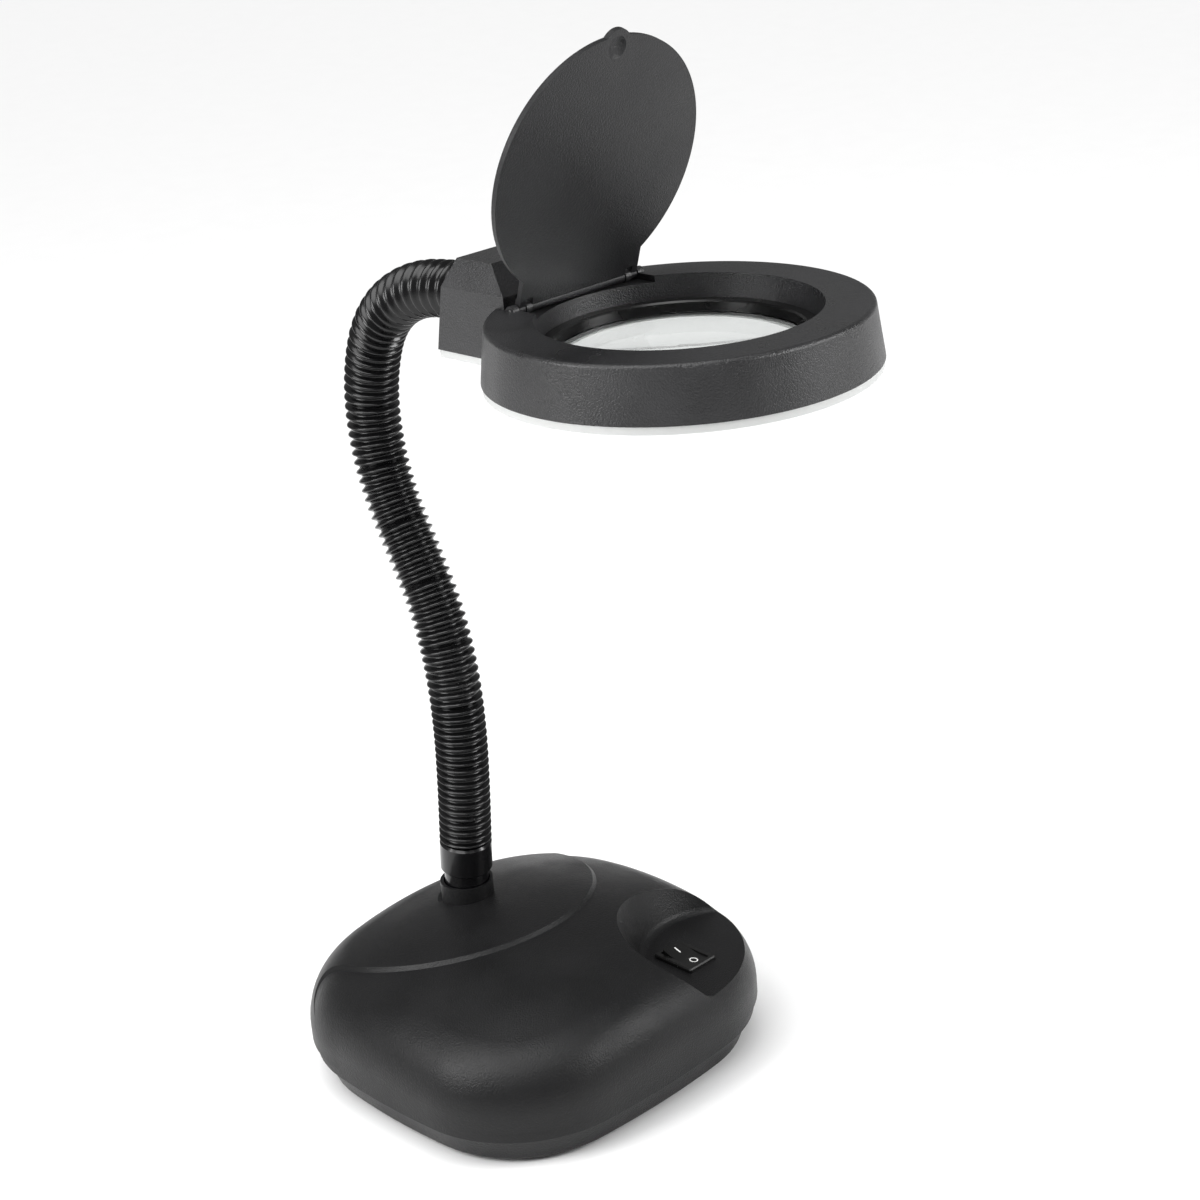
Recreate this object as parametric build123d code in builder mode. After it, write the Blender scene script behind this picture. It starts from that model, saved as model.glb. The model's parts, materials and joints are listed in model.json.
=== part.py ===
"""Desk magnifying lamp: weighted base, flexible neck, ring-lit lens head with a hinged lens cover.

Frame: +Z up, front of the lamp toward -Y, +X to the right seen from the front.
The origin is the centre of the base's footprint, on the surface that it stands on.
All sizes are millimetres and all angles are degrees.
"""
import os
from math import cos, radians, sin

from build123d import *

# ------------------------------------------------------------------ driving dimensions
# base shell
base_width = 168.0            # widest, along X
base_depth = 160.0            # widest, along Y
side_bow = 7.0                # how far each long side bows out past its corners
corner_round = 54.0           # plan radius of the corners at the widest line
seam_height = 18.6            # lower rim of the top shell
apex_height = 60.0            # top of the dome
crown_radius = 240.0          # radius of the domed top
edge_round = 25.0             # rounding between the dome and the side
shell_wall = 2.2
# raised round field about the neck
field_radius = 52.5
field_rise = 1.3
field_slope = 30.0             # half height of the 45 degree cone that bevels the field's edge
# neck collar on the shell
collar_y = 36.0
collar_top = 66.4
collar_radius = 11.0
collar_bore = 9.75
# base pan and pad
pad_thickness = 1.5
pad_inset = 12.0              # from the shell's widest line
pan_inset_top = 1.6
pan_inset_bottom = 7.4
pan_band_height = 5.0         # upright band under the seam
pan_step = 1.4                # step in below the band
pan_wall = 2.0
seam_gap = 0.3
# counterweight
weight_length = 116.0
weight_depth = 104.0
weight_height = 10.0
weight_y = 4.0
weight_hole_x = 46.0
weight_hole_y = 40.0
# fasteners
post_x = 66.0
post_y = 22.0
post_radius = 4.2
screw_radius = 1.5
screw_head_radius = 3.0
screw_head_height = 2.0
screw_fit = 0.1               # radial room of a screw in its hole
# rocker switch
switch_x = 42.5
switch_y = -47.0
recess_floor = 38.0
recess_radius = 36.0
recess_x = 57.0
recess_y = -58.0
recess_draft = 24.0
recess_fillet = 4.0
bezel_length = 21.0
bezel_width = 15.0
bezel_height = 1.8
switch_body_depth = 14.0
rocker_tilt = 9.0
rocker_clearance = 0.25
rocker_end_clearance = 0.7     # room for the rocker's ends as it tips
rocker_taper = 1.4             # the rocker's lower edge is shorter at each end
# ballast
ballast_length = 58.0
ballast_width = 36.0
ballast_height = 24.0
ballast_x = -24.0
ballast_y = 4.0
# cable inlet in the back of the pan
inlet_height = 9.6
inlet_hole = 4.4
inlet_bore = 2.9
# neck
neck_lean = -6.0              # lean of the lower fitting, negative toward the front
neck_start_height = 85.5
link_length = 25.4
link_count = 11               # full links between the two part links at the ends
last_length = 10.2            # part link that runs into the head
link_turns = [0.0, 2.0, 6.0, 9.5, 13.5, 2.0, -15.0, -17.0, -20.0, -34.0, -25.0, -6.0, 0.0]
straight_turn = 0.5           # a stretch that turns less than this is straight
sleeve_radius = 11.0
sleeve_root = 9.4
sleeve_bore = 8.0
rib_pitch = 3.7
rib_width = 1.7
sleeve_gap = 2.9              # room between neighbouring sleeve lengths for the bend
ball_radius = 5.2
ball_clearance = 0.08
cup_radius = 7.2
cup_reach = 1.6               # how far a cup closes past the middle of its ball
core_tube_radius = 3.4
core_bore = 2.0
ferrule_length = 13.5
groove_length = 6.5
groove_radius = 9.25
thread_radius = 6.5
thread_fit = 0.2
fitting_bore = 4.0
nut_flats = 20.0
nut_height = 5.0
washer_radius = 10.5
washer_height = 1.2
collar_floor_height = 57.6
collar_floor_thickness = 3.6
# head
head_reach = 90.0             # neck's end to the head's axis
neck_above_rim = 11.9         # neck's end above the head's lower rim
ring_height = 19.3
ring_radius_bottom = 68.3
ring_radius_top = 65.8
ring_edge_round = 1.6
ring_wall = 1.9
well_radius_top = 49.0
well_radius_bottom = 47.6
ledge_height = 9.6            # lens ledge above the head's lower rim
lens_radius = 45.0
lens_edge = 3.0
lens_lift = 0.3                # the bulging face rests on the lip's inner corner, rim clear of it
lens_curvature = 348.0
lens_fit = 0.2
lens_lip_radius = 43.0
lens_seat_height = 3.2
lens_tube_radius = 47.8
channel_inner = 50.7
retainer_flange = 1.2
# arm behind the ring
arm_half_width = 31.0
arm_wall = 2.0
arm_side_height = 23.5
arm_top_height = 33.5
arm_back_reach = 90.5         # reaches are measured back from the head's axis
arm_back_lean = 5.1           # the back face leans forward by this over the side height
arm_facet_width = 4.0
arm_facet_back = 5.4
arm_front_reach = 53.0
arm_slope_reach = 62.0
entry_boss_radius = 11.6
entry_depth = 7.6
flange_thickness = 1.4
cover_post_x = 23.0
cover_post_reach = 80.0
cover_post_radius = 3.4
# lamp tube
tube_ring_radius = 57.6
tube_radius = 6.0
tube_height = 7.6             # middle of the tube above the lower rim
tube_gap_angle = 34.0
cap_margin = 1.2
reflector_height = 15.0
reflector_thickness = 0.6
clip_thickness = 0.6
clip_fit = 0.25               # room for the straight clip on the curved tube
clip_angles = (210, 330, 20, 160)
standoff_radius = 3.0
clip_width = 8.0
# lower cover
cover_depth = 2.8
cover_skin = 1.4
cover_inset = 0.5
cover_collar_height = 4.0
# lens cover lid
hinge_reach = 49.5
hinge_drop = 0.3              # hinge axis below the ring's top
lid_open = 71.7               # angle of the lid up from closed, as it stands
lid_radius = 46.5
lid_centre = 48.0             # hinge axis to the middle of the disc
lid_thickness = 2.4
lid_half_tongue = 28.3
knuckle_radius = 1.8
knuckle_inner_x = 25.6
ear_inner_x = 22.6
ear_outer_x = 31.6
ear_radius = 2.1
hinge_gap = 0.3
pin_radius = 0.9
pin_fit = 0.06
pocket_half_width = 28.8
pocket_floor_drop = 2.3       # pocket floor below the ring's top
tab_radius = 6.0
tab_reach = 2.5

pan_top = seam_height - seam_gap
weight_bottom = pad_thickness + pan_wall + 0.2
weight_top = weight_bottom + weight_height

os.makedirs("parts", exist_ok=True)


def save(part, name):
    """Label a finished piece and write it as its own file."""
    part.label = name
    export_step(part, f"parts/{name}.step")


# ------------------------------------------------------------------ shared shapes
def bowed_plan(inset, height):
    """Plan of the base, drawn inset from its widest line: four bowed sides and round corners."""
    x = base_width / 2 - inset
    y = base_depth / 2 - inset
    corner_x = x - side_bow
    corner_y = y - side_bow
    with BuildSketch(Plane.XY.offset(height)) as plan:
        with BuildLine():
            ThreePointArc((corner_x, -corner_y), (x, 0), (corner_x, corner_y))
            ThreePointArc((corner_x, corner_y), (0, y), (-corner_x, corner_y))
            ThreePointArc((-corner_x, corner_y), (-x, 0), (-corner_x, -corner_y))
            ThreePointArc((-corner_x, -corner_y), (0, -y), (corner_x, -corner_y))
        make_face()
        fillet(plan.vertices(), corner_round - inset)
    return plan.sketch


def pillow(inset, bottom, apex, rounding):
    """The base's outer form: bowed plan, domed top and a large rounded edge."""
    plan = bowed_plan(inset, bottom)
    with BuildPart() as form:
        extrude(plan, amount=apex - bottom)
        with Locations((0, 0, apex - crown_radius)):
            Sphere(crown_radius, mode=Mode.INTERSECT)
        fillet(form.faces().filter_by(GeomType.SPHERE).edges(), rounding)
    return form.part


def recess_cutter(growth):
    """Drafted round pocket that leaves a flat floor about the switch."""
    with BuildPart() as cutter:
        with BuildSketch(Plane.XY.offset(recess_floor - growth)) as floor:
            with Locations((recess_x, recess_y)):
                Circle(recess_radius + growth)
        extrude(amount=apex_height - recess_floor, taper=-recess_draft)
        fillet(cutter.edges().group_by(Axis.Z)[0], recess_fillet)
    return cutter.part


def heading_plane(point, heading):
    """Plane across the neck: its Z runs along the neck, heading toward +Y from upright."""
    angle = radians(heading)
    return Plane(origin=point, x_dir=(1, 0, 0), z_dir=(0, sin(angle), cos(angle)))


def advanced(plane, length, turn):
    """The plane after going along the neck by a length while turning evenly."""
    heading = plane.z_dir.get_signed_angle(Vector(0, 0, 1), Vector(1, 0, 0))
    if abs(turn) < straight_turn:
        return heading_plane(plane.origin + plane.z_dir * length, heading)
    radius = length / radians(turn)
    along = radius * sin(radians(turn))
    across = radius * (1 - cos(radians(turn)))
    return heading_plane(plane.origin + plane.z_dir * along + plane.y_dir * across, heading + turn)


def bent_tube(plane, length, turn, outer, inner):
    """Round tube that starts at a plane and follows the neck's bend in the YZ plane."""
    with BuildPart() as tube:
        with BuildSketch(plane):
            Circle(outer)
            if inner > 0:
                Circle(inner, mode=Mode.SUBTRACT)
        if abs(turn) < straight_turn:
            extrude(amount=length)
        else:
            radius = length / radians(turn)
            middle = plane.origin + plane.y_dir * radius
            direction = (-1, 0, 0) if turn > 0 else (1, 0, 0)
            revolve(axis=Axis(middle, direction), revolution_arc=abs(turn))
    return tube.part


def pan_head_screws(places, head_z, length, side):
    """Identical upright screws; side 1 puts the head above head_z, side -1 below it."""
    with BuildPart() as screws:
        for x, y in places:
            with BuildSketch(Plane.XY.offset(head_z)):
                with Locations((x, y)):
                    Circle(screw_radius)
            extrude(amount=-side * length)
            with BuildSketch(Plane.XY.offset(head_z)):
                with Locations((x, y)):
                    Circle(screw_head_radius)
            extrude(amount=side * screw_head_height)
    return screws.part


# ------------------------------------------------------------------ neck path
fitting_heading = neck_lean
fitting_origin = Vector(0, collar_y, collar_top - 4)
rise = (neck_start_height - fitting_origin.Z) / cos(radians(neck_lean))
neck_start = heading_plane(
    fitting_origin + Vector(0, sin(radians(neck_lean)), cos(radians(neck_lean))) * rise, neck_lean
)
stretch_lengths = [link_length / 2] + [link_length] * link_count + [last_length]
stretch_starts = [neck_start]
for stretch_length, stretch_turn in zip(stretch_lengths, link_turns):
    stretch_starts.append(advanced(stretch_starts[-1], stretch_length, stretch_turn))
neck_end = stretch_starts[-1]

# the head hangs on the end of the neck
head_y = neck_end.origin.Y - head_reach
head_bottom = neck_end.origin.Z - neck_above_rim
head_top = head_bottom + ring_height
arm_back_y = head_y + arm_back_reach
arm_front_y = head_y + arm_front_reach
arm_slope_y = head_y + arm_slope_reach
entry_face_y = neck_end.origin.Y - flange_thickness
neck_entry_height = neck_end.origin.Z
cover_post_y = head_y + cover_post_reach
hinge_y = head_y + hinge_reach
hinge_height = head_top - hinge_drop

# ------------------------------------------------------------------ base top shell
outer_form = pillow(0, seam_height, apex_height, edge_round)
inner_form = pillow(
    shell_wall, seam_height - 5, apex_height - shell_wall, edge_round - shell_wall
)
raised_form = pillow(0.4, seam_height, apex_height + field_rise, edge_round)
recess = recess_cutter(0)
recess_room = recess_cutter(shell_wall)

with BuildPart() as raised_field:
    add(raised_form)
    with Locations((0, collar_y, collar_floor_height)):
        Cone(
            field_radius + field_slope,
            field_radius - field_slope,
            2 * field_slope,
            rotation=(0, 0, 37),
            mode=Mode.INTERSECT,
        )

with BuildPart() as hollow:
    add(inner_form)
    add(recess_room, mode=Mode.SUBTRACT)

with BuildPart() as posts:
    with BuildSketch(Plane.XY.offset(pad_thickness + pan_wall + 3)):
        with GridLocations(2 * post_x, 2 * post_y, 2, 2):
            Circle(post_radius)
    extrude(amount=apex_height)
    add(outer_form, mode=Mode.INTERSECT)
    add(recess, mode=Mode.SUBTRACT)

with BuildPart() as lower_posts:
    with BuildSketch(Plane.XY.offset(pad_thickness + pan_wall + 3)):
        with GridLocations(2 * post_x, 2 * post_y, 2, 2):
            Circle(post_radius)
    extrude(amount=seam_height - pad_thickness - pan_wall)

collar_seat = heading_plane(
    fitting_origin - Vector(0, sin(radians(neck_lean)), cos(radians(neck_lean)))
    * (fitting_origin.Z - collar_floor_height), neck_lean
)

with BuildPart() as base_top_shell:
    add(outer_form)
    add(raised_field.part)
    add(recess, mode=Mode.SUBTRACT)
    add(hollow.part, mode=Mode.SUBTRACT)
    add(posts.part)
    add(lower_posts.part)
    with BuildSketch(Plane.XY.offset(collar_top)):
        with Locations((0, collar_y)):
            Circle(collar_radius)
    extrude(amount=collar_floor_height - collar_floor_thickness - collar_top)
    with BuildSketch(collar_seat.offset(-collar_floor_thickness)):
        Circle(washer_radius + 2)
    extrude(amount=collar_floor_thickness - 1)
    with BuildSketch(collar_seat):
        Circle(collar_bore)
    extrude(amount=20, mode=Mode.SUBTRACT)
    with BuildSketch(collar_seat):
        Circle(thread_radius + thread_fit)
    extrude(amount=-12, mode=Mode.SUBTRACT)
    with BuildSketch(collar_seat.offset(-collar_floor_thickness)):
        Circle(washer_radius + 2.5)
    extrude(amount=-8, mode=Mode.SUBTRACT)
    with BuildSketch(Plane.XY.offset(recess_floor + 1)):
        with Locations((switch_x, switch_y)):
            Rectangle(bezel_width - 2, bezel_length - 2)
    extrude(amount=-shell_wall - 3, mode=Mode.SUBTRACT)
    with BuildSketch(Plane.XY.offset(pad_thickness + pan_wall)):
        with GridLocations(2 * post_x, 2 * post_y, 2, 2):
            Circle(screw_radius + screw_fit)
    extrude(amount=20, mode=Mode.SUBTRACT)
save(base_top_shell.part, "base_top_shell")

# ------------------------------------------------------------------ base pan
band_bottom = pan_top - pan_band_height
band_plan = bowed_plan(pan_inset_top, band_bottom)
tray_bottom_plan = bowed_plan(pan_inset_bottom, pad_thickness)
tray_top_plan = bowed_plan(pan_inset_top + pan_step, band_bottom)
hollow_bottom_plan = bowed_plan(pan_inset_bottom + pan_wall, pad_thickness + pan_wall)
hollow_top_plan = bowed_plan(pan_inset_top + pan_step + pan_wall, band_bottom + 0.2)
band_hollow_plan = bowed_plan(pan_inset_top + pan_wall, band_bottom)
with BuildPart() as tray:
    loft([tray_bottom_plan, tray_top_plan])
with BuildPart() as tray_hollow:
    loft([hollow_bottom_plan, hollow_top_plan])
with BuildPart() as base_pan:
    add(tray.part)
    fillet(base_pan.edges().group_by(Axis.Z)[0], 2.5)
    extrude(band_plan, amount=pan_band_height)
    add(tray_hollow.part, mode=Mode.SUBTRACT)
    extrude(band_hollow_plan, amount=pan_band_height + 1, mode=Mode.SUBTRACT)
    with BuildSketch(Plane.XY.offset(pad_thickness)):
        with GridLocations(2 * post_x, 2 * post_y, 2, 2):
            Circle(post_radius + 1)
    extrude(amount=pan_wall + 3)
    with BuildSketch(Plane.XY.offset(pad_thickness + pan_wall - 1)):
        with Locations((0, weight_y)):
            with GridLocations(2 * weight_hole_x, 2 * weight_hole_y, 2, 2):
                Circle(3.5)
    extrude(amount=1.2)
    with BuildSketch(Plane.XY.offset(pad_thickness)):
        with GridLocations(2 * post_x, 2 * post_y, 2, 2):
            Circle(screw_radius + screw_fit)
        with Locations((0, weight_y)):
            with GridLocations(2 * weight_hole_x, 2 * weight_hole_y, 2, 2):
                Circle(screw_radius + screw_fit)
    extrude(amount=20, mode=Mode.SUBTRACT)
    with BuildSketch(Plane.XY.offset(pad_thickness)):
        with GridLocations(2 * post_x, 2 * post_y, 2, 2):
            Circle(screw_head_radius + 0.3)
    extrude(amount=screw_head_height + 0.2, mode=Mode.SUBTRACT)
    with BuildSketch(Plane.XZ.offset(-base_depth / 2 - 5)):
        with Locations((0, inlet_height)):
            Circle(inlet_hole)
    extrude(amount=20, mode=Mode.SUBTRACT)
save(base_pan.part, "base_pan")

# ------------------------------------------------------------------ foam pad under the pan
pad_plan = bowed_plan(pad_inset, 0)
with BuildPart() as foam_pad:
    extrude(pad_plan, amount=pad_thickness)
    with BuildSketch(Plane.XY):
        with GridLocations(2 * post_x, 2 * post_y, 2, 2):
            Circle(screw_head_radius + 1)
    extrude(amount=pad_thickness, mode=Mode.SUBTRACT)
save(foam_pad.part, "foam_pad")

# ------------------------------------------------------------------ counterweight and its screws
with BuildPart() as counterweight:
    with BuildSketch(Plane.XY.offset(weight_bottom)):
        with Locations((0, weight_y)):
            RectangleRounded(weight_length, weight_depth, 12)
            with GridLocations(2 * weight_hole_x, 2 * weight_hole_y, 2, 2):
                Circle(screw_radius + 0.4, mode=Mode.SUBTRACT)
        with Locations((ballast_x, ballast_y)):
            with GridLocations(ballast_length + 8, 1, 2, 1):
                Circle(screw_radius + screw_fit, mode=Mode.SUBTRACT)
    extrude(amount=weight_height)
    chamfer(counterweight.edges().group_by(Axis.Z)[-1].filter_by(GeomType.LINE), 1)
save(counterweight.part, "counterweight")

weight_places = [
    (x, weight_y + y) for x in (-weight_hole_x, weight_hole_x) for y in (-weight_hole_y, weight_hole_y)
]
weight_screws = pan_head_screws(weight_places, weight_top, weight_height + 1.5, 1)
save(weight_screws, "counterweight_screws")

base_places = [(x, y) for x in (-post_x, post_x) for y in (-post_y, post_y)]
base_head_z = pad_thickness + screw_head_height + 0.2
base_screws = pan_head_screws(base_places, base_head_z, 14, -1)
save(base_screws, "base_screws")

# ------------------------------------------------------------------ ballast on the counterweight
ballast_bottom = weight_top + 1.2
with BuildPart() as ballast:
    with BuildSketch(Plane.XY.offset(weight_top)):
        with Locations((ballast_x, ballast_y)):
            RectangleRounded(ballast_length + 16, 14, 3)
            with GridLocations(ballast_length + 8, 1, 2, 1):
                Circle(screw_radius + 0.2, mode=Mode.SUBTRACT)
    extrude(amount=ballast_bottom - weight_top)
    with BuildSketch(Plane.XY.offset(ballast_bottom)):
        with Locations((ballast_x, ballast_y)):
            RectangleRounded(ballast_length, ballast_width, 3)
    extrude(amount=ballast_height)
    fillet(ballast.faces().sort_by(Axis.Z)[-1].edges(), 2)
save(ballast.part, "ballast")

ballast_places = [(ballast_x + side * (ballast_length / 2 + 4), ballast_y) for side in (-1, 1)]
ballast_screws = pan_head_screws(ballast_places, ballast_bottom, 5, 1)
save(ballast_screws, "ballast_screws")

# ------------------------------------------------------------------ rocker switch
bezel_plane = Plane((switch_x, switch_y, recess_floor))
rocker_length = bezel_length - 5
rocker_width = bezel_width - 5
with BuildPart() as switch_housing:
    with BuildSketch(bezel_plane):
        RectangleRounded(bezel_width, bezel_length, 0.8)
    extrude(amount=bezel_height)
    chamfer(switch_housing.faces().sort_by(Axis.Z)[-1].edges(), 0.5)
    with BuildSketch(bezel_plane):
        RectangleRounded(bezel_width - 2.3, bezel_length - 2.3, 0.6)
    extrude(amount=-switch_body_depth)
    with BuildSketch(bezel_plane.offset(bezel_height)):
        Rectangle(rocker_width + 2 * rocker_clearance, rocker_length + 2 * rocker_end_clearance)
    extrude(amount=-switch_body_depth + 1, mode=Mode.SUBTRACT)
save(switch_housing.part, "switch_housing")

# The rocker is drawn level and then tipped to the "off" side, toward the front.
rocker_pivot = Vector(switch_x, switch_y, recess_floor - 1.0)
with BuildPart() as rocker_level:
    with BuildSketch(Plane.YZ.offset(switch_x - rocker_width / 2)):
        with BuildLine():
            Polyline(
                (switch_y - rocker_length / 2 + rocker_taper, recess_floor - 4.5),
                (switch_y + rocker_length / 2 - rocker_taper, recess_floor - 4.5),
                (switch_y + rocker_length / 2, recess_floor + 2.6),
            )
            ThreePointArc(
                (switch_y + rocker_length / 2, recess_floor + 2.6),
                (switch_y, recess_floor + 1.5),
                (switch_y - rocker_length / 2, recess_floor + 2.6),
            )
            Line(
                (switch_y - rocker_length / 2, recess_floor + 2.6),
                (switch_y - rocker_length / 2 + rocker_taper, recess_floor - 4.5),
            )
        make_face()
    extrude(amount=rocker_width)
switch_rocker = rocker_level.part.rotate(Axis(rocker_pivot, (1, 0, 0)), rocker_tilt)
save(switch_rocker, "switch_rocker")

with BuildPart() as switch_terminals:
    with BuildSketch(bezel_plane.offset(-switch_body_depth)):
        with GridLocations(1, 7.5, 1, 2):
            Rectangle(4.8, 0.8)
    extrude(amount=-6.5)
save(switch_terminals.part, "switch_terminals")

# ------------------------------------------------------------------ cable inlet bush
with BuildPart() as cable_inlet_bush:
    with BuildSketch(Plane.YZ):
        with BuildLine():
            inner_y = base_depth / 2 - pan_inset_bottom - 2.0
            Polyline(
                (inner_y - 3.5, inlet_height + inlet_bore),
                (inner_y - 3.5, inlet_height + inlet_hole + 1.2),
                (inner_y - 2.2, inlet_height + inlet_hole + 1.2),
                (inner_y - 2.2, inlet_height + inlet_hole - 0.05),
                (inner_y + 6.5, inlet_height + inlet_hole - 0.05),
                (inner_y + 9.0, inlet_height + inlet_hole - 0.6),
                (inner_y + 9.0, inlet_height + inlet_bore),
                close=True,
            )
        make_face()
    revolve(axis=Axis((0, 0, inlet_height), (0, 1, 0)))
save(cable_inlet_bush.part, "cable_inlet_bush")

# ------------------------------------------------------------------ lower neck fitting
nut_plane = collar_seat.offset(-collar_floor_thickness)
seat_depth = (neck_start.origin - collar_seat.origin).length
with BuildPart() as neck_lower_fitting:
    with BuildSketch(neck_start):
        Circle(sleeve_radius - 0.2)
    extrude(amount=-ferrule_length)
    chamfer(neck_lower_fitting.edges(), 0.9)
    with BuildSketch(neck_start.offset(1.0 - ferrule_length)):
        Circle(groove_radius)
    extrude(amount=ferrule_length - 1.0 - seat_depth)
    with BuildSketch(collar_seat):
        Circle(thread_radius)
    extrude(amount=-collar_floor_thickness - washer_height - nut_height - 2.5)
    with BuildSketch(neck_start):
        Circle(fitting_bore)
    extrude(amount=-seat_depth - 20, mode=Mode.SUBTRACT)
    with BuildSketch(neck_start):
        Circle(core_tube_radius)
    extrude(amount=-4, mode=Mode.SUBTRACT)
save(neck_lower_fitting.part, "neck_lower_fitting")


def washer(plane, name):
    """Flat washer that lies below a plane."""
    with BuildPart() as ring:
        with BuildSketch(plane):
            Circle(washer_radius)
            Circle(thread_radius + thread_fit, mode=Mode.SUBTRACT)
        extrude(amount=-washer_height)
    save(ring.part, name)


def lock_nut(plane, name):
    """Hexagon nut that lies below a washer; its bore touches the thread's crests."""
    with BuildPart() as nut:
        with BuildSketch(plane.offset(-washer_height)):
            RegularPolygon(nut_flats / 2, 6, major_radius=False)
            Circle(thread_radius + 0.05, mode=Mode.SUBTRACT)
        extrude(amount=-nut_height)
        chamfer(nut.edges().filter_by(GeomType.CIRCLE), 0.4)
    save(nut.part, name)


washer(nut_plane, "neck_lower_washer")
lock_nut(nut_plane, "neck_lower_nut")

# ------------------------------------------------------------------ neck core and sleeve
# Link k runs from joint k to joint k+1.  Its core is a tube with a ball at the joint that it
# hangs on and a cup for the next link's ball.  Its sleeve stops short of both joints.
def core_part(index):
    """Core of one stretch of the neck: ball, bent tube and cup, bored for the wires."""
    start = stretch_starts[index]
    end = stretch_starts[index + 1]
    length = stretch_lengths[index]
    turn = link_turns[index]
    first = index == 0
    last = index == link_count + 1
    with BuildPart() as core:
        add(bent_tube(start, length, turn, core_tube_radius, 0))
        if not last:
            with Locations(end.origin):
                Sphere(cup_radius)
            with BuildSketch(end.offset(cup_reach)):
                Circle(2 * cup_radius)
            extrude(amount=2 * cup_radius, mode=Mode.SUBTRACT)
            with Locations(end.origin):
                Sphere(ball_radius + ball_clearance, mode=Mode.SUBTRACT)
        if not first:
            with Locations(start.origin):
                Sphere(ball_radius)
        add(bent_tube(start, length, turn, core_bore, 0), mode=Mode.SUBTRACT)
        if not first:
            with BuildSketch(start.offset(-ball_radius)):
                Circle(core_bore)
            extrude(amount=ball_radius + 0.01, mode=Mode.SUBTRACT)
    return core.part


def sleeve_part(index):
    """One length of ribbed sleeve, open at both ends, following the neck's bend."""
    length = stretch_lengths[index]
    turn = link_turns[index]
    low_gap = 0 if index == 0 else sleeve_gap / 2
    high_gap = 0 if index == link_count + 1 else sleeve_gap / 2
    run = length - low_gap - high_gap
    per_mm = turn / length
    start = advanced(stretch_starts[index], low_gap, per_mm * low_gap)
    ribs = max(1, round(run / rib_pitch))
    with BuildPart() as sleeve:
        add(bent_tube(start, run, per_mm * run, sleeve_root, sleeve_bore))
        for rib in range(ribs):
            place = (rib + 0.5) * run / ribs - rib_width / 2
            foot = advanced(start, place, per_mm * place)
            add(bent_tube(foot, rib_width, per_mm * rib_width, sleeve_radius, sleeve_bore + 0.6))
    return sleeve.part


for index in range(link_count + 2):
    save(core_part(index), f"neck_core_{index:02d}")
    save(sleeve_part(index), f"neck_sleeve_{index:02d}")

# ------------------------------------------------------------------ head housing: ring and arm
def ring_profile(points):
    """Solid of revolution about the head's axis from (radius, height above the lower rim) points."""
    with BuildPart() as ring:
        with BuildSketch(Plane.XZ.offset(-head_y)):
            with BuildLine():
                Polyline([(radius, head_bottom + height) for radius, height in points], close=True)
            make_face()
        revolve(axis=Axis((0, head_y, 0), (0, 0, 1)))
    return ring.part


def arm_block(inset, bottom, front_y, slope_y):
    """Box behind the ring: leaning back face, sloped front and facets along its top edges."""
    half = arm_half_width - inset
    side_z = head_bottom + arm_side_height
    top_z = head_bottom + arm_top_height - inset
    lean_bottom = (arm_back_y - inset, bottom)
    lean_top = (arm_back_y - arm_back_lean - inset, side_z)
    facet_top = (arm_back_y - arm_back_lean - arm_facet_back - inset, top_z)
    with BuildPart() as block:
        with BuildSketch(Plane.YZ.offset(-half)):
            with BuildLine():
                Polyline(
                    (front_y, bottom), lean_bottom, lean_top, facet_top,
                    (slope_y, top_z), (front_y, side_z), close=True,
                )
            make_face()
        extrude(amount=2 * half)
        for side in (1, -1):
            with BuildSketch(Plane.XZ.offset(-arm_back_y + 5)):
                with BuildLine():
                    Polyline(
                        (side * (half + 1), side_z - 0.01),
                        (side * half, side_z),
                        (side * (half - arm_facet_width), top_z),
                        (side * (half - arm_facet_width), top_z + 1),
                        (side * (half + 1), top_z + 1),
                        close=True,
                    )
                make_face()
            extrude(amount=70, both=True, mode=Mode.SUBTRACT)
    return block.part


def head_cylinder(radius, low, high):
    """Cylinder on the head's axis between two heights above the lower rim."""
    with BuildPart() as cylinder:
        with BuildSketch(Plane.XY.offset(head_bottom + low)):
            with Locations((0, head_y)):
                Circle(radius)
        extrude(amount=high - low)
    return cylinder.part


roof = ring_height - ring_wall
ring_shell = ring_profile([
    (ring_radius_bottom, 0),
    (ring_radius_top, ring_height),
    (well_radius_top, ring_height),
    (well_radius_bottom, ledge_height),
    (lens_radius + lens_fit, ledge_height),
    (lens_radius + lens_fit, lens_seat_height),
    (lens_lip_radius, lens_seat_height),
    (lens_lip_radius, 0.2),
    (lens_tube_radius, 0.2),
    (lens_tube_radius, ledge_height - 1.6),
    (channel_inner, ledge_height - 0.4),
    (channel_inner + 0.2, roof),
    (ring_radius_top - ring_wall, roof),
    (ring_radius_bottom - ring_wall, 0),
])
arm_outer = arm_block(0, head_bottom, arm_front_y, arm_slope_y)
arm_inner = arm_block(arm_wall, head_bottom - 1, arm_front_y + 3, arm_slope_y)
pocket_top = head_top - pocket_floor_drop
seat_bottom = head_bottom + reflector_height + reflector_thickness + 0.2

with BuildPart() as hinge_seat:
    with BuildSketch(Plane.XY.offset(seat_bottom)):
        with Locations((0, hinge_y - 7)):
            Rectangle(2 * arm_half_width, 24)
    extrude(amount=head_top - 0.5 - seat_bottom)
    add(head_cylinder(ring_radius_top - ring_wall - 0.5, 0, ring_height), mode=Mode.INTERSECT)
    add(head_cylinder(well_radius_top + 0.4, 0, ring_height + 1), mode=Mode.SUBTRACT)

channel_room = ring_profile([
    (channel_inner, -1),
    (channel_inner + 0.2, roof),
    (ring_radius_top - ring_wall, roof),
    (ring_radius_bottom - ring_wall, -1),
])
entry_plane = Plane(origin=(0, entry_face_y, neck_entry_height), x_dir=(1, 0, 0), z_dir=(0, -1, 0))

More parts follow.
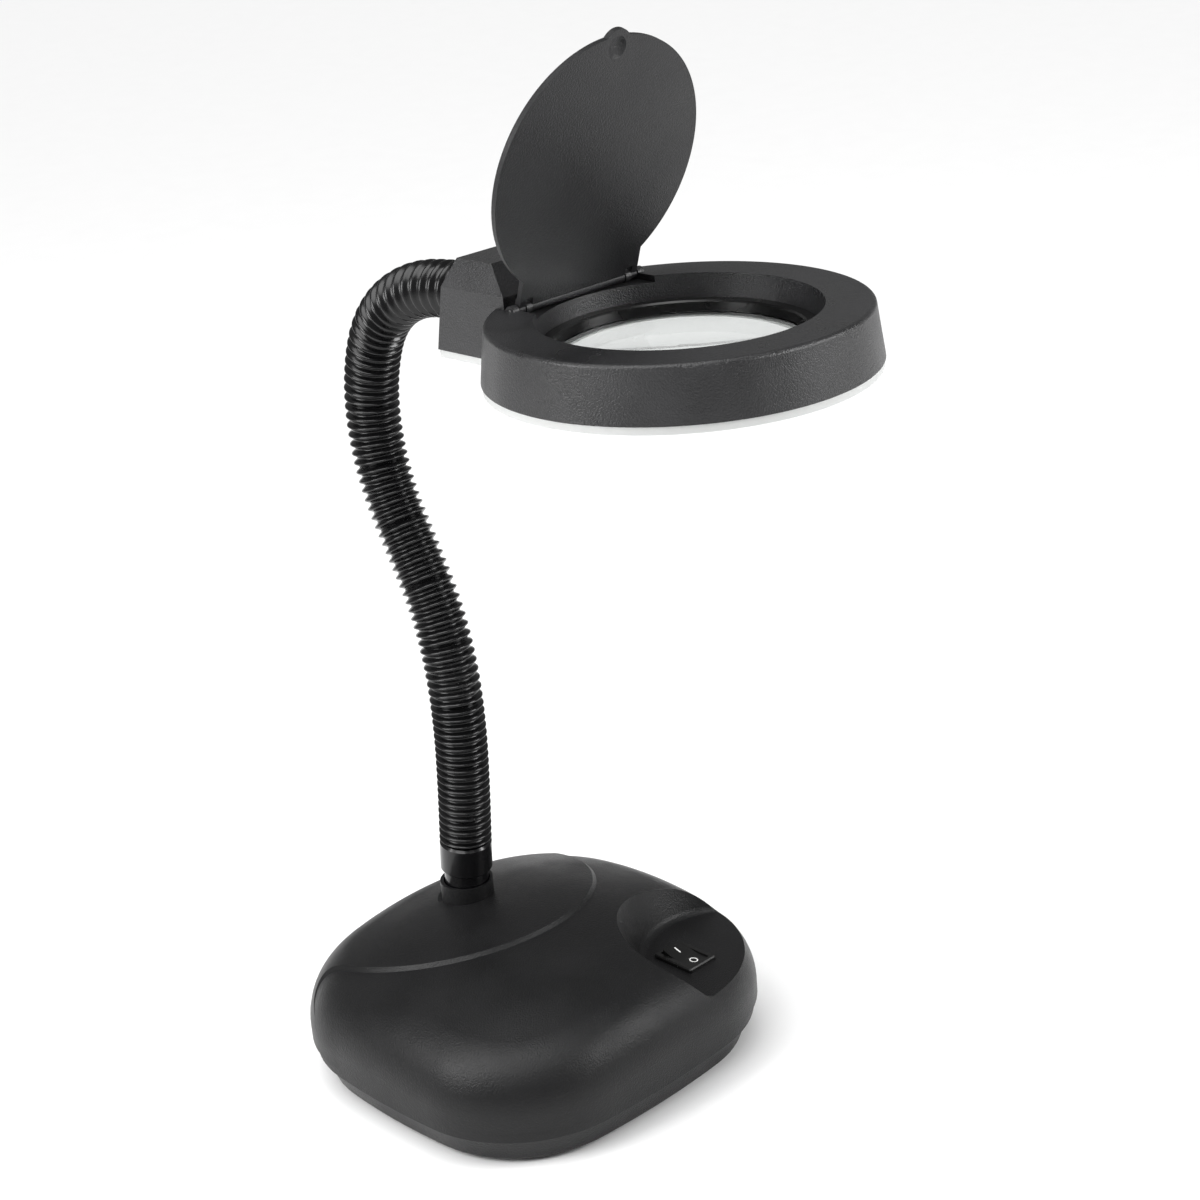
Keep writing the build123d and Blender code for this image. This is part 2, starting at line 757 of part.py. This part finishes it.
with BuildPart() as head_housing:
    add(ring_shell)
    fillet(
        head_housing.edges().filter_by(GeomType.CIRCLE).group_by(Axis.Z)[-1].sort_by(SortBy.RADIUS)[-1],
        ring_edge_round,
    )
    add(arm_outer)
    with BuildSketch(entry_plane):
        Circle(entry_boss_radius)
    extrude(amount=entry_depth)
    add(arm_inner, mode=Mode.SUBTRACT)
    add(channel_room, mode=Mode.SUBTRACT)
    with BuildSketch(entry_plane):
        Circle(entry_boss_radius)
    extrude(amount=entry_depth)
    with BuildSketch(entry_plane):
        Circle(entry_boss_radius + 0.3)
    extrude(amount=-6, mode=Mode.SUBTRACT)
    add(hinge_seat.part)
    for angle in clip_angles:
        with BuildSketch(Plane.XY.offset(head_bottom + reflector_height + reflector_thickness)):
            with Locations((
                tube_ring_radius * cos(radians(angle)),
                head_y + tube_ring_radius * sin(radians(angle)),
            )):
                Circle(standoff_radius)
        extrude(amount=roof + 0.5 - reflector_height - reflector_thickness)
    with BuildSketch(Plane.XY.offset(head_bottom + 0.2)):
        with Locations((-cover_post_x, cover_post_y), (cover_post_x, cover_post_y)):
            Circle(cover_post_radius)
    extrude(amount=arm_top_height - arm_wall)
    with BuildSketch(Plane.XY.offset(head_bottom)):
        with Locations((-cover_post_x, cover_post_y), (cover_post_x, cover_post_y)):
            Circle(screw_radius + screw_fit)
    extrude(amount=14, mode=Mode.SUBTRACT)
    with BuildSketch(entry_plane):
        Circle(thread_radius + thread_fit)
    extrude(amount=entry_depth + 1, mode=Mode.SUBTRACT)
    with BuildSketch(Plane.XY.offset(pocket_top)):
        with Locations((0, hinge_y - 6.2)):
            Rectangle(2 * pocket_half_width, 17)
    extrude(amount=arm_top_height, mode=Mode.SUBTRACT)
    for side in (-1, 1):
        for low_x, high_x in ((ear_inner_x, knuckle_inner_x - hinge_gap), (pocket_half_width, ear_outer_x)):
            with BuildSketch(Plane.YZ.offset(side * low_x)):
                with Locations((hinge_y, hinge_height)):
                    Circle(ear_radius)
            extrude(amount=side * (high_x - low_x))
    with BuildSketch(Plane.YZ.offset(-ear_outer_x)):
        with Locations((hinge_y, hinge_height)):
            Circle(pin_radius + 0.02)
    extrude(amount=2 * ear_outer_x, mode=Mode.SUBTRACT)
save(head_housing.part, "head_housing")

# ------------------------------------------------------------------ neck fitting at the head
shank_end = entry_depth + washer_height + nut_height + 2.5
with BuildPart() as neck_upper_fitting:
    with BuildSketch(entry_plane):
        Circle(sleeve_radius - 0.1)
    extrude(amount=entry_face_y - neck_end.origin.Y)
    with BuildSketch(entry_plane):
        Circle(thread_radius)
    extrude(amount=shank_end)
    with BuildSketch(neck_end):
        Circle(fitting_bore)
    extrude(amount=shank_end + 10, mode=Mode.SUBTRACT)
save(neck_upper_fitting.part, "neck_upper_fitting")
inner_face = Plane(
    origin=(0, entry_face_y - entry_depth, neck_entry_height), x_dir=(1, 0, 0), z_dir=(0, 1, 0)
)
washer(inner_face, "neck_upper_washer")
lock_nut(inner_face, "neck_upper_nut")

# ------------------------------------------------------------------ lamp tube and its fittings
tube_plane = Plane(origin=(0, head_y, head_bottom + tube_height))
glass_span = 360 - tube_gap_angle
glass_start = 90 + tube_gap_angle / 2
with BuildPart() as lamp_tube:
    with BuildSketch(Plane.XZ.offset(-head_y)):
        with Locations((tube_ring_radius, head_bottom + tube_height)):
            Circle(tube_radius)
    revolve(axis=Axis((0, head_y, 0), (0, 0, 1)), revolution_arc=glass_span)
lamp_tube_placed = lamp_tube.part.rotate(Axis((0, head_y, 0), (0, 0, 1)), glass_start)
save(lamp_tube_placed, "lamp_tube")

with BuildPart() as lamp_cap:
    with BuildSketch(Plane.XZ.offset(-head_y)):
        with Locations((tube_ring_radius, head_bottom + tube_height)):
            Rectangle(2 * tube_radius, 2 * tube_radius)
    revolve(axis=Axis((0, head_y, 0), (0, 0, 1)), revolution_arc=tube_gap_angle - 0.4)
lamp_cap_placed = lamp_cap.part.rotate(
    Axis((0, head_y, 0), (0, 0, 1)), 90 - tube_gap_angle / 2 + 0.2
)
save(lamp_cap_placed, "lamp_cap")

cap_back_y = head_y + tube_ring_radius + tube_radius
with BuildPart() as lamp_socket:
    with BuildSketch(Plane.XY.offset(head_bottom + tube_height - 5)):
        with Locations((0, cap_back_y + 0.4 + 4)):
            RectangleRounded(22, 8, 1)
    extrude(amount=10)
save(lamp_socket.part, "lamp_socket")

reflector = ring_profile([
    (channel_inner + 0.5, reflector_height),
    (ring_radius_top - ring_wall - 0.6, reflector_height),
    (ring_radius_top - ring_wall - 0.6, reflector_height + reflector_thickness),
    (channel_inner + 0.5, reflector_height + reflector_thickness),
])
save(reflector, "reflector")

with BuildPart() as lamp_clips:
    for angle in clip_angles:
        across = Plane(
            origin=(0, head_y, head_bottom), x_dir=(cos(radians(angle)), sin(radians(angle)), 0),
            z_dir=(sin(radians(angle)), -cos(radians(angle)), 0),
        )
        with BuildSketch(across.offset(-clip_width / 2)):
            with Locations((tube_ring_radius, tube_height)):
                Circle(tube_radius + clip_fit + clip_thickness)
                Circle(tube_radius + clip_fit, mode=Mode.SUBTRACT)
            with Locations((tube_ring_radius, tube_height - tube_radius - 1)):
                Rectangle(4 * tube_radius, tube_radius + 2, mode=Mode.SUBTRACT)
            with Locations((tube_ring_radius, (reflector_height + tube_height + tube_radius) / 2 + 0.3)):
                Rectangle(4, reflector_height - tube_height - tube_radius - 0.6)
        extrude(amount=clip_width)
save(lamp_clips.part, "lamp_clips")

# ------------------------------------------------------------------ lens and its retaining ring
sag = lens_curvature - (lens_curvature ** 2 - lens_radius ** 2) ** 0.5
lens_low = lens_seat_height + lens_lift
lens_blank = head_cylinder(lens_radius, lens_low - sag - 1, lens_low + lens_edge + sag + 1)
with BuildPart() as magnifying_lens:
    add(lens_blank)
    with Locations((0, head_y, head_bottom + lens_low + lens_edge + sag - lens_curvature)):
        Sphere(lens_curvature, mode=Mode.INTERSECT)
    with Locations((0, head_y, head_bottom + lens_low - sag + lens_curvature)):
        Sphere(lens_curvature, mode=Mode.INTERSECT)
save(magnifying_lens.part, "magnifying_lens")

retainer_bottom = lens_low + lens_edge
lens_retaining_ring = ring_profile([
    (lens_lip_radius, retainer_bottom + lens_lift + 0.1),
    (lens_radius, retainer_bottom + 0.05),
    (lens_radius, ledge_height),
    (well_radius_bottom - 0.3, ledge_height),
    (well_radius_bottom - 0.3, ledge_height + retainer_flange),
    (lens_lip_radius + 0.6, ledge_height + retainer_flange),
    (lens_lip_radius, ledge_height + retainer_flange - 0.6),
])
save(lens_retaining_ring, "lens_retaining_ring")

# ------------------------------------------------------------------ lower cover (diffuser)
def cover_plan(inset, height):
    """Outline of the head from below: the ring and the arm joined."""
    half = arm_half_width - cover_inset - inset
    back = arm_back_y - cover_inset - inset
    with BuildSketch(Plane.XY.offset(height)) as plan:
        with Locations((0, head_y)):
            Circle(ring_radius_bottom - cover_inset - inset)
        with Locations((0, (head_y + back) / 2)):
            Rectangle(2 * half, back - head_y)
    return plan.sketch


cover_bottom = head_bottom - cover_depth
cover_outer = cover_plan(0, cover_bottom)
cover_hollow = cover_plan(1.5, cover_bottom + cover_skin)
with BuildPart() as lower_cover:
    extrude(cover_outer, amount=cover_depth)
    extrude(cover_hollow, amount=cover_depth, mode=Mode.SUBTRACT)
    add(head_cylinder(lens_tube_radius + 1.6, -cover_depth, cover_collar_height))
    add(head_cylinder(lens_tube_radius + 0.1, -cover_skin + 0.2, 10), mode=Mode.SUBTRACT)
    add(head_cylinder(lens_lip_radius, -10, 10), mode=Mode.SUBTRACT)
    with BuildSketch(Plane.XY.offset(cover_bottom)):
        with Locations((-cover_post_x, cover_post_y), (cover_post_x, cover_post_y)):
            Circle(cover_post_radius + 1.5)
    extrude(amount=cover_depth)
    with BuildSketch(Plane.XY.offset(cover_bottom)):
        with Locations((-cover_post_x, cover_post_y), (cover_post_x, cover_post_y)):
            Circle(screw_head_radius + 0.2)
    extrude(amount=cover_depth - 1, mode=Mode.SUBTRACT)
    with BuildSketch(Plane.XY.offset(cover_bottom)):
        with Locations((-cover_post_x, cover_post_y), (cover_post_x, cover_post_y)):
            Circle(screw_radius + screw_fit)
    extrude(amount=cover_depth + 1, mode=Mode.SUBTRACT)
save(lower_cover.part, "lower_cover")

cover_places = [(-cover_post_x, cover_post_y), (cover_post_x, cover_post_y)]
cover_screws = pan_head_screws(cover_places, head_bottom - 1, 12, -1)
save(cover_screws, "cover_screws")

# ------------------------------------------------------------------ lens cover lid and its pins
# Drawn closed, flat over the well, and then swung up to where it stands.
lid_plane = Plane(origin=(0, hinge_y, hinge_height - lid_thickness / 2))
with BuildPart() as lid_closed:
    with BuildSketch(lid_plane):
        with Locations((0, -lid_centre)):
            Circle(lid_radius)
        with Locations((0, -lid_centre / 2 - 1.5)):
            Rectangle(2 * lid_half_tongue, lid_centre - 3)
        with Locations((0, -lid_centre - lid_radius - tab_reach + tab_radius)):
            Circle(tab_radius)
    extrude(amount=lid_thickness)
    fillet(lid_closed.faces().sort_by(Axis.Z)[-1].outer_wire().edges(), 0.7)
    for side in (-1, 1):
        with BuildSketch(lid_plane):
            with Locations((side * (ear_inner_x + knuckle_inner_x) / 2, -3)):
                Rectangle(knuckle_inner_x - ear_inner_x + hinge_gap, 2.4)
        extrude(amount=lid_thickness, mode=Mode.SUBTRACT)
    for low_x, high_x in (
        (-lid_half_tongue, -knuckle_inner_x),
        (hinge_gap - ear_inner_x, ear_inner_x - hinge_gap),
        (knuckle_inner_x, lid_half_tongue),
    ):
        with BuildSketch(Plane.YZ.offset(low_x)):
            with Locations((hinge_y, hinge_height)):
                Circle(knuckle_radius)
            with Locations((hinge_y - 2, hinge_height)):
                Rectangle(4, lid_thickness)
        extrude(amount=high_x - low_x)
    with BuildSketch(Plane.YZ.offset(-lid_half_tongue)):
        with Locations((hinge_y, hinge_height)):
            Circle(pin_radius + pin_fit)
    extrude(amount=2 * lid_half_tongue, mode=Mode.SUBTRACT)
    with Locations((0, hinge_y - lid_centre - lid_radius + 4, hinge_height - lid_thickness / 2 - 6)):
        Sphere(7.2, mode=Mode.SUBTRACT)
hinge_axis = Axis((0, hinge_y, hinge_height), (-1, 0, 0))
lens_lid = lid_closed.part.rotate(hinge_axis, lid_open)
save(lens_lid, "lens_lid")

with BuildPart() as lid_hinge_pins:
    for side in (-1, 1):
        with BuildSketch(Plane.YZ.offset(side * (ear_inner_x + 0.1))):
            with Locations((hinge_y, hinge_height)):
                Circle(pin_radius)
        extrude(amount=side * (ear_outer_x - ear_inner_x - 0.3))
save(lid_hinge_pins.part, "lid_hinge_pins")
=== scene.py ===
"""Looks for the desk magnifying lamp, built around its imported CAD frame. Metres throughout."""
import bpy
import bmesh
from math import atan2, cos, degrees, pi, radians, sin
from mathutils import Matrix, Vector
from mathutils.bvhtree import BVHTree
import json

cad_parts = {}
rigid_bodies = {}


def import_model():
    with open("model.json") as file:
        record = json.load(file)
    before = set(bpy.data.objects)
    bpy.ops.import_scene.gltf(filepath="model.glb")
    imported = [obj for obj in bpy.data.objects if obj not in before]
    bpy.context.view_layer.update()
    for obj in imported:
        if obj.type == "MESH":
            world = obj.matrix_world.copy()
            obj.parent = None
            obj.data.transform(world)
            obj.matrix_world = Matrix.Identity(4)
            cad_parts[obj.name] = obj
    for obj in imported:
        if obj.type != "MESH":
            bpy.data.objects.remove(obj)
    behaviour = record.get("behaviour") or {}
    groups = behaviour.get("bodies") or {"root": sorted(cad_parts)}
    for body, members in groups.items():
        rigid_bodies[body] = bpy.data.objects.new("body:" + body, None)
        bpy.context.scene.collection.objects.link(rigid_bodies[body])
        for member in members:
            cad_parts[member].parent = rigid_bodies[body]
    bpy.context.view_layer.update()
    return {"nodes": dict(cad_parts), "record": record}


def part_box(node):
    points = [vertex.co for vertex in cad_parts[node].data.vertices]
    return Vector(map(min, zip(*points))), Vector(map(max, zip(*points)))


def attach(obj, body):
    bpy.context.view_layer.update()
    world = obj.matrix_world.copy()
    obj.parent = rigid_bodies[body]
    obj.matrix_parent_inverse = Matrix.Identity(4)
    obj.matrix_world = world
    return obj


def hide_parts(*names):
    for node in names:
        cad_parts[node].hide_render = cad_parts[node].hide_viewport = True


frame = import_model()
nodes = frame["nodes"]
record = frame["record"]


# ------------------------------------------------------------------ materials
def surface(name, colour, rough, grain=900.0, bump=0.1, spread=0.12, coat=0.0, metal=0.0,
            glass=0.0, mottling=35.0, rough_spread=0.08, depth=0.00015, ior=1.5, shine=0.5):
    """Finish with fine grain, slow mottling in colour and gloss, and a bump from the grain."""
    made = bpy.data.materials.new(name)
    made.use_nodes = True
    tree = made.node_tree
    shader = tree.nodes["Principled BSDF"]
    place = tree.nodes.new("ShaderNodeTexCoord")
    fine = tree.nodes.new("ShaderNodeTexNoise")
    fine.inputs["Scale"].default_value = grain
    fine.inputs["Detail"].default_value = 4.0
    slow = tree.nodes.new("ShaderNodeTexNoise")
    slow.inputs["Scale"].default_value = mottling
    slow.inputs["Detail"].default_value = 3.0
    for noise in (fine, slow):
        tree.links.new(place.outputs["Object"], noise.inputs["Vector"])
    both = tree.nodes.new("ShaderNodeMath")
    both.operation = "ADD"
    tree.links.new(fine.outputs["Fac"], both.inputs[0])
    tree.links.new(slow.outputs["Fac"], both.inputs[1])
    tint = tree.nodes.new("ShaderNodeMapRange")
    tint.inputs["From Min"].default_value = 0.6
    tint.inputs["From Max"].default_value = 1.4
    tree.links.new(both.outputs[0], tint.inputs["Value"])
    mixed = tree.nodes.new("ShaderNodeMix")
    mixed.data_type = "RGBA"
    mixed.inputs["A"].default_value = [c * (1 - spread) for c in colour] + [1]
    mixed.inputs["B"].default_value = [min(1, c * (1 + spread)) for c in colour] + [1]
    tree.links.new(tint.outputs["Result"], mixed.inputs["Factor"])
    tree.links.new(mixed.outputs["Result"], shader.inputs["Base Color"])
    gloss = tree.nodes.new("ShaderNodeMapRange")
    gloss.inputs["From Min"].default_value = 0.3
    gloss.inputs["From Max"].default_value = 0.7
    gloss.inputs["To Min"].default_value = max(0.02, rough - rough_spread)
    gloss.inputs["To Max"].default_value = min(1, rough + rough_spread)
    tree.links.new(slow.outputs["Fac"], gloss.inputs["Value"])
    tree.links.new(gloss.outputs["Result"], shader.inputs["Roughness"])
    relief = tree.nodes.new("ShaderNodeBump")
    relief.inputs["Strength"].default_value = bump
    relief.inputs["Distance"].default_value = depth
    tree.links.new(fine.outputs["Fac"], relief.inputs["Height"])
    tree.links.new(relief.outputs["Normal"], shader.inputs["Normal"])
    shader.inputs["Metallic"].default_value = metal
    shader.inputs["Coat Weight"].default_value = coat
    shader.inputs["Transmission Weight"].default_value = glass
    shader.inputs["IOR"].default_value = ior
    shader.inputs["Specular IOR Level"].default_value = shine
    return made


finishes = {
    "black_base": surface("black_base", (0.007, 0.007, 0.0074), 0.38, 1500, 0.7, spread=0.3,
                          shine=0.27, depth=0.0003),
    "foam": surface("foam", (0.02, 0.02, 0.02), 0.9, 2200, 0.6),
    "cast_iron": surface("cast_iron", (0.09, 0.09, 0.09), 0.7, 700, 0.5, metal=0.6),
    "zinc_steel": surface("zinc_steel", (0.62, 0.62, 0.61), 0.3, 1200, 0.08, metal=1.0),
    "ballast_case": surface("ballast_case", (0.72, 0.72, 0.70), 0.5),
    "switch_black": surface("switch_black", (0.006, 0.006, 0.006), 0.3, 1500, 0.08, shine=0.35),
    "brass": surface("brass", (0.75, 0.56, 0.25), 0.3, metal=1.0),
    "soft_black": surface("soft_black", (0.02, 0.02, 0.02), 0.7),
    "gloss_black": surface("gloss_black", (0.004, 0.004, 0.0045), 0.2, 700, 0.05, coat=0.2, shine=0.35),
    "charcoal_shell": surface("charcoal_shell", (0.016, 0.016, 0.017), 0.32, 1700, 1.0, spread=0.6,
                              depth=0.00024),
    "opal_glass": surface("opal_glass", (0.93, 0.93, 0.91), 0.25, bump=0.02, spread=0.02),
    "white_plastic": surface("white_plastic", (0.82, 0.82, 0.80), 0.5),
    "reflector_white": surface("reflector_white", (0.88, 0.88, 0.87), 0.4, spread=0.03),
    "lens_glass": surface("lens_glass", (0.84, 0.86, 0.85), 0.02, 60, 0.01, spread=0.01,
                          glass=1.0, rough_spread=0.0, ior=1.5),
    "black_ring": surface("black_ring", (0.006, 0.006, 0.006), 0.24, 1200, 0.08, shine=0.45),
    "clear_cover": surface("clear_cover", (0.78, 0.79, 0.78), 0.35, 500, 0.05, spread=0.03, glass=0.35),
    "charcoal_lid": surface("charcoal_lid", (0.012, 0.012, 0.013), 0.42, 1700, 0.9, spread=0.5,
                            shine=0.32, depth=0.0002),
    "core_steel": surface("core_steel", (0.35, 0.35, 0.36), 0.4, metal=1.0),
    "sleeve_black": surface("sleeve_black", (0.003, 0.003, 0.0033), 0.22, 500, 0.06, shine=0.4),
}
for row in record["subparts"]:
    slots = nodes[row["node"]].data.materials
    slots.clear()
    slots.append(finishes[row["material_slot"]])


# ------------------------------------------------------------------ the ribbed neck sleeve
link_length = 0.0254
last_length = 0.0102
neck_lean = -6.0
crest_radius = 0.0109
root_radius = 0.0090
sleeve_inside = 0.0084
pitches = [(0.0, 0.0033), (0.06, 0.0034), (0.12, 0.0038), (0.21, 0.0039), (0.24, 0.0047), (0.29, 0.0050),
           (0.31, 0.0044)]
neck_joints = [joint for joint in record["behaviour"]["joints"] if joint["name"].startswith("neck_")]
places = [Vector(joint["pos_m"]) for joint in neck_joints]


def along(heading):
    """Direction of the neck where it leans by heading, positive toward the back."""
    return Vector((0, sin(radians(heading)), cos(radians(heading))))


# each stretch: start point, start heading, length, turn
stretches = [(places[0] - along(neck_lean) * link_length / 2, neck_lean, link_length / 2, 0.0)]
heading = neck_lean
for low, high in zip(places, places[1:]):
    chord = high - low
    turn = 2 * (degrees(atan2(chord.y, chord.z)) - heading)
    stretches.append((low, heading, link_length, turn))
    heading += turn
stretches.append((places[-1], heading, last_length, 0.0))
stretch_ends = [sum(row[2] for row in stretches[:count + 1]) for count in range(len(stretches))]


def neck_at(run):
    """Point on the neck's middle line and the heading there, a distance run from its lower end."""
    index = min(sum(1 for end in stretch_ends if run > end + 1e-9), len(stretches) - 1)
    start, lean, length, turn = stretches[index]
    part = run - stretch_ends[index] + length
    here = lean + turn * part / length
    half = turn * part / length / 2
    bow = radians(half)
    chord = part * (sin(bow) / bow if abs(bow) > 1e-9 else 1.0)
    return start + along(lean + half) * chord, here


def pitch_at(run):
    """Rib pitch along the neck, wider where the bend stretches the sleeve."""
    for (low, low_pitch), (high, high_pitch) in zip(pitches, pitches[1:]):
        if run <= high:
            return low_pitch + (high_pitch - low_pitch) * (run - low) / (high - low)
    return pitches[-1][1]


crest_sharpness = 1.1
rings_per_rib = 11
around = 40
liner_radius = 0.00895
liner_half_width = 0.0032
liner_steps = 6                  # rings on each side of the joint


def sleeve_radius(phase):
    """Outside of the sleeve: rounded crests and narrower roots."""
    wave = 0.5 + 0.5 * cos(2 * pi * phase)
    return root_radius + (crest_radius - root_radius) * wave ** crest_sharpness


def turned(name, path, closed):
    """Skin about the neck from (centre, heading, radius) rings, joined end to end when closed."""
    mesh = bmesh.new()
    rings = []
    for middle, lean, radius in path:
        ahead = along(lean + 90)
        rings.append([
            mesh.verts.new(middle + (Vector((1, 0, 0)) * cos(a) + ahead * sin(a)) * radius)
            for a in (2 * pi * turn / around for turn in range(around))
        ])
    for ring, following in zip(rings, rings[1:] + (rings[:1] if closed else [])):
        for turn in range(around):
            after = (turn + 1) % around
            mesh.faces.new((ring[turn], ring[after], following[after], following[turn]))
    bmesh.ops.recalc_face_normals(mesh, faces=mesh.faces)
    data = bpy.data.meshes.new(name)
    mesh.to_mesh(data)
    mesh.free()
    data.polygons.foreach_set("use_smooth", [True] * len(data.polygons))
    data.materials.append(finishes["sleeve_black"])
    piece = bpy.data.objects.new(name, data)
    bpy.context.collection.objects.link(piece)
    return piece


def sleeve_piece(name, low, high):
    """Ribbed length between two joints: a whole number of ribs, so that it meets the next at a root."""
    ribs = max(1, round((high - low) / pitch_at((low + high) / 2)))
    steps = ribs * rings_per_rib
    path = []
    for count in range(steps + 1):
        middle, lean = neck_at(low + (high - low) * count / steps)
        path.append((middle, lean, sleeve_radius(count / rings_per_rib + 0.5)))
    for count in range(steps, -1, -rings_per_rib):
        middle, lean = neck_at(low + (high - low) * count / steps)
        path.append((middle, lean, sleeve_inside))
    return turned(name, path, closed=True)


# one rigid length per link, so that nothing stretches when the neck moves
links = [neck_joints[0]["parent"]] + [joint["child"] for joint in neck_joints]
for count, body in enumerate(links):
    low = stretch_ends[count - 1] if count else 0.0
    piece = sleeve_piece(f"ribbed_sleeve_{count:02d}", low, stretch_ends[count])
    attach(piece, body)
    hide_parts(f"neck_sleeve_{count:02d}")

# a ball-shaped liner about each joint keeps the sleeve closed at any bend
for count, body in enumerate(links[:-1]):
    middle, lean = neck_at(stretch_ends[count])
    path = []
    for part in range(-liner_steps, liner_steps + 1):
        off = liner_half_width * part / liner_steps
        path.append((middle + along(lean) * off, lean, (liner_radius ** 2 - off ** 2) ** 0.5))
    liner = turned(f"sleeve_liner_{count + 1:02d}", path, closed=False)
    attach(liner, body)

# ------------------------------------------------------------------ marks on the rocker
mark_paint = surface("mark_paint", (0.8, 0.8, 0.79), 0.5, 1500, 0.1, spread=0.05)
rocker = nodes["switch_rocker"]
rocker_tree = BVHTree.FromPolygons(
    [v.co.copy() for v in rocker.data.vertices], [tuple(p.vertices) for p in rocker.data.polygons]
)
rocker_low, rocker_high = [Vector(corner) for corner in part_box("switch_rocker")]
rocker_mid = (rocker_low + rocker_high) / 2
paint_lift = 0.00003
mark_offset = 0.0045             # each mark from the rocker's middle
bar_half_width = 0.0003
ring_inside = (0.0011, 0.0015)
ring_outside = (0.0016, 0.0020)


def painted(name, outline_pairs):
    """Thin printed mark: pairs of plan points dropped onto the rocker's top."""
    mesh = bmesh.new()
    rows = []
    for pair in outline_pairs:
        row = []
        for x, y in pair:
            hit = rocker_tree.ray_cast(Vector((x, y, rocker_high.z + 0.01)), Vector((0, 0, -1)))
            row.append(mesh.verts.new(hit[0] + hit[1] * paint_lift))
        rows.append(row)
    for row, following in zip(rows, rows[1:]):
        mesh.faces.new((row[0], row[1], following[1], following[0]))
    bmesh.ops.recalc_face_normals(mesh, faces=mesh.faces)
    data = bpy.data.meshes.new(name)
    mesh.to_mesh(data)
    mesh.free()
    data.materials.append(mark_paint)
    mark = bpy.data.objects.new(name, data)
    bpy.context.collection.objects.link(mark)
    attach(mark, "rocker")


bar_y = rocker_mid.y + mark_offset
painted("rocker_mark_on", [
    ((rocker_mid.x - bar_half_width, bar_y + dy), (rocker_mid.x + bar_half_width, bar_y + dy))
    for dy in (-0.0016, -0.0008, 0.0, 0.0008, 0.0016)
])
ring_y = rocker_mid.y - mark_offset
painted("rocker_mark_off", [
    tuple((rocker_mid.x + wide * cos(a), ring_y + tall * sin(a)) for wide, tall in (ring_inside, ring_outside))
    for a in (2 * pi * turn / 32 for turn in range(33))
])

# ------------------------------------------------------------------ floor, light and camera
floor_mesh = bpy.data.meshes.new("floor")
floor_mesh.from_pydata([(-20, -20, 0), (20, -20, 0), (20, 20, 0), (-20, 20, 0)], [], [(0, 1, 2, 3)])
floor = bpy.data.objects.new("floor", floor_mesh)
floor.location.z = -0.0001
bpy.context.collection.objects.link(floor)
floor_mesh.materials.append(surface("floor", (0.94, 0.94, 0.94), 0.9, 20, 0.02, spread=0.005))

world = bpy.data.worlds.new("studio")
bpy.context.scene.world = world
world.use_nodes = True
tree = world.node_tree
tree.nodes.clear()
out = tree.nodes.new("ShaderNodeOutputWorld")
room = tree.nodes.new("ShaderNodeBackground")
room.inputs["Strength"].default_value = 0.24
paper = tree.nodes.new("ShaderNodeBackground")
for light in (room, paper):
    light.inputs["Color"].default_value = (1, 1, 1, 1)
path_kind = tree.nodes.new("ShaderNodeLightPath")
seen = tree.nodes.new("ShaderNodeMath")
seen.operation = "MAXIMUM"
tree.links.new(path_kind.outputs["Is Camera Ray"], seen.inputs[0])
tree.links.new(path_kind.outputs["Is Transmission Ray"], seen.inputs[1])
choice = tree.nodes.new("ShaderNodeMixShader")
tree.links.new(seen.outputs[0], choice.inputs[0])
tree.links.new(room.outputs[0], choice.inputs[1])
tree.links.new(paper.outputs[0], choice.inputs[2])
tree.links.new(choice.outputs[0], out.inputs["Surface"])


def lamp(name, kind, place, aim, **settings):
    """Light at place, pointed at aim."""
    data = bpy.data.lights.new(name, kind)
    for key, value in settings.items():
        setattr(data, key, value)
    made = bpy.data.objects.new(name, data)
    made.location = place
    made.rotation_euler = (Vector(aim) - Vector(place)).to_track_quat("-Z", "Y").to_euler()
    bpy.context.collection.objects.link(made)


lamp("overhead", "SUN", (-0.4, -0.1, 1.6), (0, 0, 0), energy=2.5, angle=radians(50))
lamp("softbox_left", "AREA", (-1.0, 0.25, 0.75), (0, 0, 0.1), energy=10, shape="SQUARE", size=0.6)
lamp("softbox_right", "AREA", (0.65, -0.95, 0.7), (0, 0, 0.1), energy=9, shape="SQUARE", size=0.5)

camera_data = bpy.data.cameras.new("camera")
camera_data.sensor_width = 36
camera_data.lens = 71.72
camera = bpy.data.objects.new("camera", camera_data)
camera.matrix_world = Matrix((
    (0.7124649, 0.3098863, -0.6295746, -0.551701),
    (-0.6973268, 0.2125725, -0.6845059, -0.660176),
    (-0.0782887, 0.9267057, 0.3675425, 0.535308),
    (0, 0, 0, 1),
))
bpy.context.collection.objects.link(camera)
bpy.context.scene.camera = camera
bpy.context.scene.view_settings.view_transform = "Standard"
